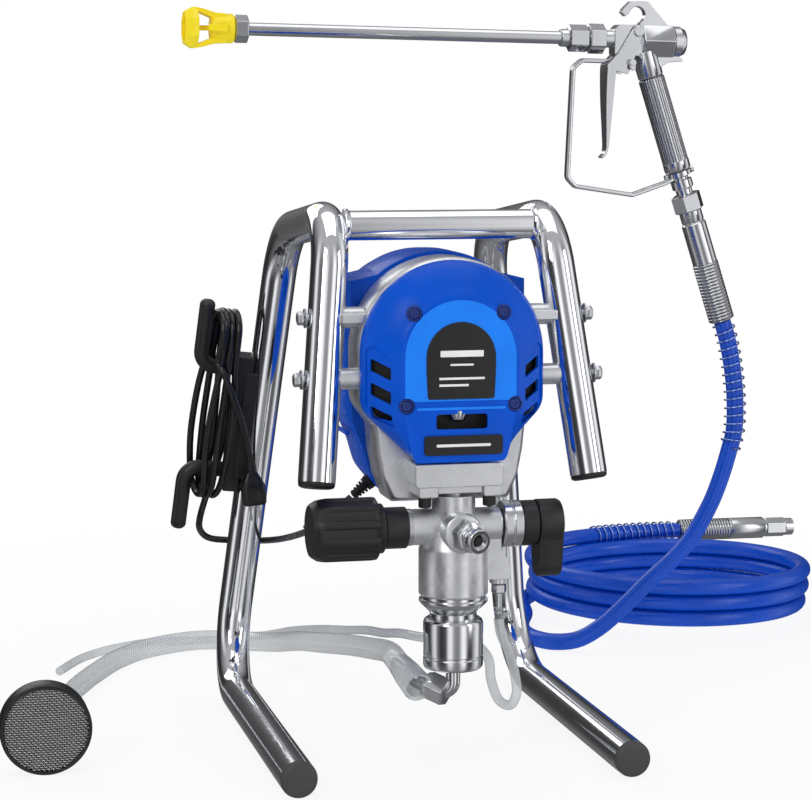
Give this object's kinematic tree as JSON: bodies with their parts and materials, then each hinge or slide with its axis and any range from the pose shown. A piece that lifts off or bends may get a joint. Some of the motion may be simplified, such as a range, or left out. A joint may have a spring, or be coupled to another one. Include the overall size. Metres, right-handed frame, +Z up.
{
  "type": "airless paint sprayer",
  "caption": "Airless paint sprayer on a tubular stand: piston pump, geared motor, trigger gun with an extension wand, hoses, strainer and mains cord.",
  "frame": {"origin": "Floor level, under the middle of the box around everything except the free hoses and cords and what is on them.", "axes": "+Z up from the floor. +Y from the front foot ends, where the pump and its knob face, towards the back. +X to the right seen from the front, from the pressure knob towards the prime valve."},
  "size_m": [0.9425, 0.796, 0.6357],
  "materials": {
    "chrome_tube": "polished",
    "foot_grey": "matte",
    "bolt_steel": "zinc plated",
    "charcoal_plastic": "satin",
    "cast_grey": "satin silver paint on a casting",
    "blue_plastic": "gloss",
    "gear_steel": "machined",
    "copper": "wound copper on a shaft",
    "pump_chrome": "plated",
    "seal_rubber": "matte",
    "gun_metal": "plated",
    "knurled_metal": "knurled",
    "yellow_plastic": "satin",
    "hose_fitting": "plated",
    "hose_blue": "satin",
    "suction_clear": "clear with a braid",
    "return_clear": "clear grey",
    "cord_black": "satin",
    "strainer_black": "satin"
  },
  "bodies": {
    "machine": {"side_frame_left": "chrome_tube", "side_frame_right": "chrome_tube", "crossbar": "chrome_tube", "foot_cap_left": "foot_grey", "foot_cap_right": "foot_grey", "leg_cap_left": "foot_grey", "leg_cap_right": "foot_grey", "leg_bolt_left_1": "bolt_steel", "leg_bolt_left_2": "bolt_steel", "leg_bolt_right_1": "bolt_steel", "leg_bolt_right_2": "bolt_steel", "cord_bracket": "charcoal_plastic", "pressure_sensor": "charcoal_plastic", "gear_housing": "cast_grey", "pump_body": "cast_grey", "front_cover": "blue_plastic", "motor_shroud": "blue_plastic", "motor_stator": "gear_steel", "bearing_front": "gear_steel", "bearing_rear": "gear_steel", "inlet_ball": "gear_steel", "outlet_fitting": "pump_chrome", "suction_valve_seat": "pump_chrome", "suction_elbow": "pump_chrome", "prime_valve_body": "pump_chrome", "drain_barb": "pump_chrome", "pump_packing": "seal_rubber", "cord_gland": "seal_rubber", "gun_body": "gun_metal", "gun_rear_cap": "gun_metal", "gun_swivel": "gun_metal", "trigger_guard": "gun_metal", "wand": "gun_metal", "gun_grip": "knurled_metal", "hose_gun_fitting": "hose_fitting", "hose_end_fitting": "hose_fitting", "paint_hose_run": "hose_blue", "paint_hose_coil": "hose_blue", "paint_hose_tail": "hose_blue", "suction_tube": "suction_clear", "return_tube": "return_clear", "power_cord_hank": "cord_black", "power_cord_lead": "cord_black", "power_plug": "cord_black", "strainer": "strainer_black"},
    "knob": {"pressure_knob": "charcoal_plastic"},
    "prime_lever": {"prime_handle": "charcoal_plastic"},
    "inlet_nut": {"suction_nut": "pump_chrome"},
    "motor_rotor": {"armature": "copper", "cooling_fan": "charcoal_plastic"},
    "idler": {"idler_gear": "gear_steel"},
    "crank": {"crank_gear": "gear_steel"},
    "piston": {"piston_yoke": "pump_chrome"},
    "rocker": {"power_switch": "charcoal_plastic"},
    "trigger_lever": {"trigger": "gun_metal"},
    "needle_rod": {"needle": "gun_metal"},
    "lock_lever": {"trigger_lock": "gun_metal"},
    "guard": {"tip_guard": "yellow_plastic"},
    "tip": {"spray_tip": "yellow_plastic"},
    "guard_retainer": {"guard_nut": "knurled_metal"}
  },
  "joints": [
    {"name": "knob_turn", "type": "hinge", "parent": "machine", "child": "knob", "pos_m": [-0.1583, -0.1711, 0.202], "axis": [-1, 0, 0], "range_deg": [-135, 135]},
    {"name": "prime_turn", "type": "hinge", "parent": "machine", "child": "prime_lever", "pos_m": [0.0077, -0.1711, 0.202], "axis": [1, 0, 0], "range_deg": [-90, 0]},
    {"name": "inlet_nut_spin", "type": "hinge", "parent": "machine", "child": "inlet_nut", "pos_m": [-0.0703, -0.1711, 0.108], "axis": [0, 0, 1], "continuous": true},
    {"name": "motor_spin", "type": "hinge", "parent": "machine", "child": "motor_rotor", "pos_m": [-0.0703, -0.0851, 0.35], "axis": [0, 1, 0], "continuous": true},
    {"name": "idler_spin", "type": "hinge", "parent": "machine", "child": "idler", "pos_m": [-0.099, -0.1351, 0.3283], "axis": [0, 1, 0], "continuous": true},
    {"name": "crank_spin", "type": "hinge", "parent": "machine", "child": "crank", "pos_m": [-0.0703, -0.1551, 0.305], "axis": [0, 1, 0], "continuous": true},
    {"name": "piston_slide", "type": "slide", "parent": "machine", "child": "piston", "axis": [0, 0, 1], "range_m": [-0.016, 0]},
    {"name": "switch_rock", "type": "hinge", "parent": "machine", "child": "rocker", "pos_m": [-0.0043, -0.0491, 0.348], "axis": [0, 1, 0], "range_deg": [-6, 6]},
    {"name": "trigger_pull", "type": "hinge", "parent": "machine", "child": "trigger_lever", "pos_m": [0.20235, 0.2049, 0.60617], "axis": [0, -1, 0], "range_deg": [0, 14], "stiffness_Nm_per_rad": 1.5, "springref_deg": -17.19},
    {"name": "needle_slide", "type": "slide", "parent": "machine", "child": "needle_rod", "axis": [0.9998, 0, -0.0204], "range_m": [0, 0.0015]},
    {"name": "lock_turn", "type": "hinge", "parent": "trigger_lever", "child": "lock_lever", "pos_m": [0.19504, 0.1889, 0.57691], "axis": [0, 1, 0], "range_deg": [0, 90]},
    {"name": "guard_turn", "type": "hinge", "parent": "machine", "child": "guard", "pos_m": [-0.19642, 0.2049, 0.60691], "axis": [0.9998, 0, -0.0204], "range_deg": [-90, 90]},
    {"name": "tip_turn", "type": "hinge", "parent": "guard", "child": "tip", "pos_m": [-0.19642, 0.2049, 0.60691], "axis": [0, 1, 0], "range_deg": [0, 180]},
    {"name": "guard_nut_spin", "type": "hinge", "parent": "machine", "child": "guard_retainer", "pos_m": [-0.1773, 0.2049, 0.6065], "axis": [0.9998, 0, -0.0204], "continuous": true}
  ],
  "couplings": [
    {"joint": "idler_spin", "follows": "motor_spin", "ratio": -0.2},
    {"joint": "crank_spin", "follows": "motor_spin", "ratio": 0.064286},
    {"joint": "needle_slide", "follows": "trigger_pull", "m_per_rad": 0.006}
  ]
}
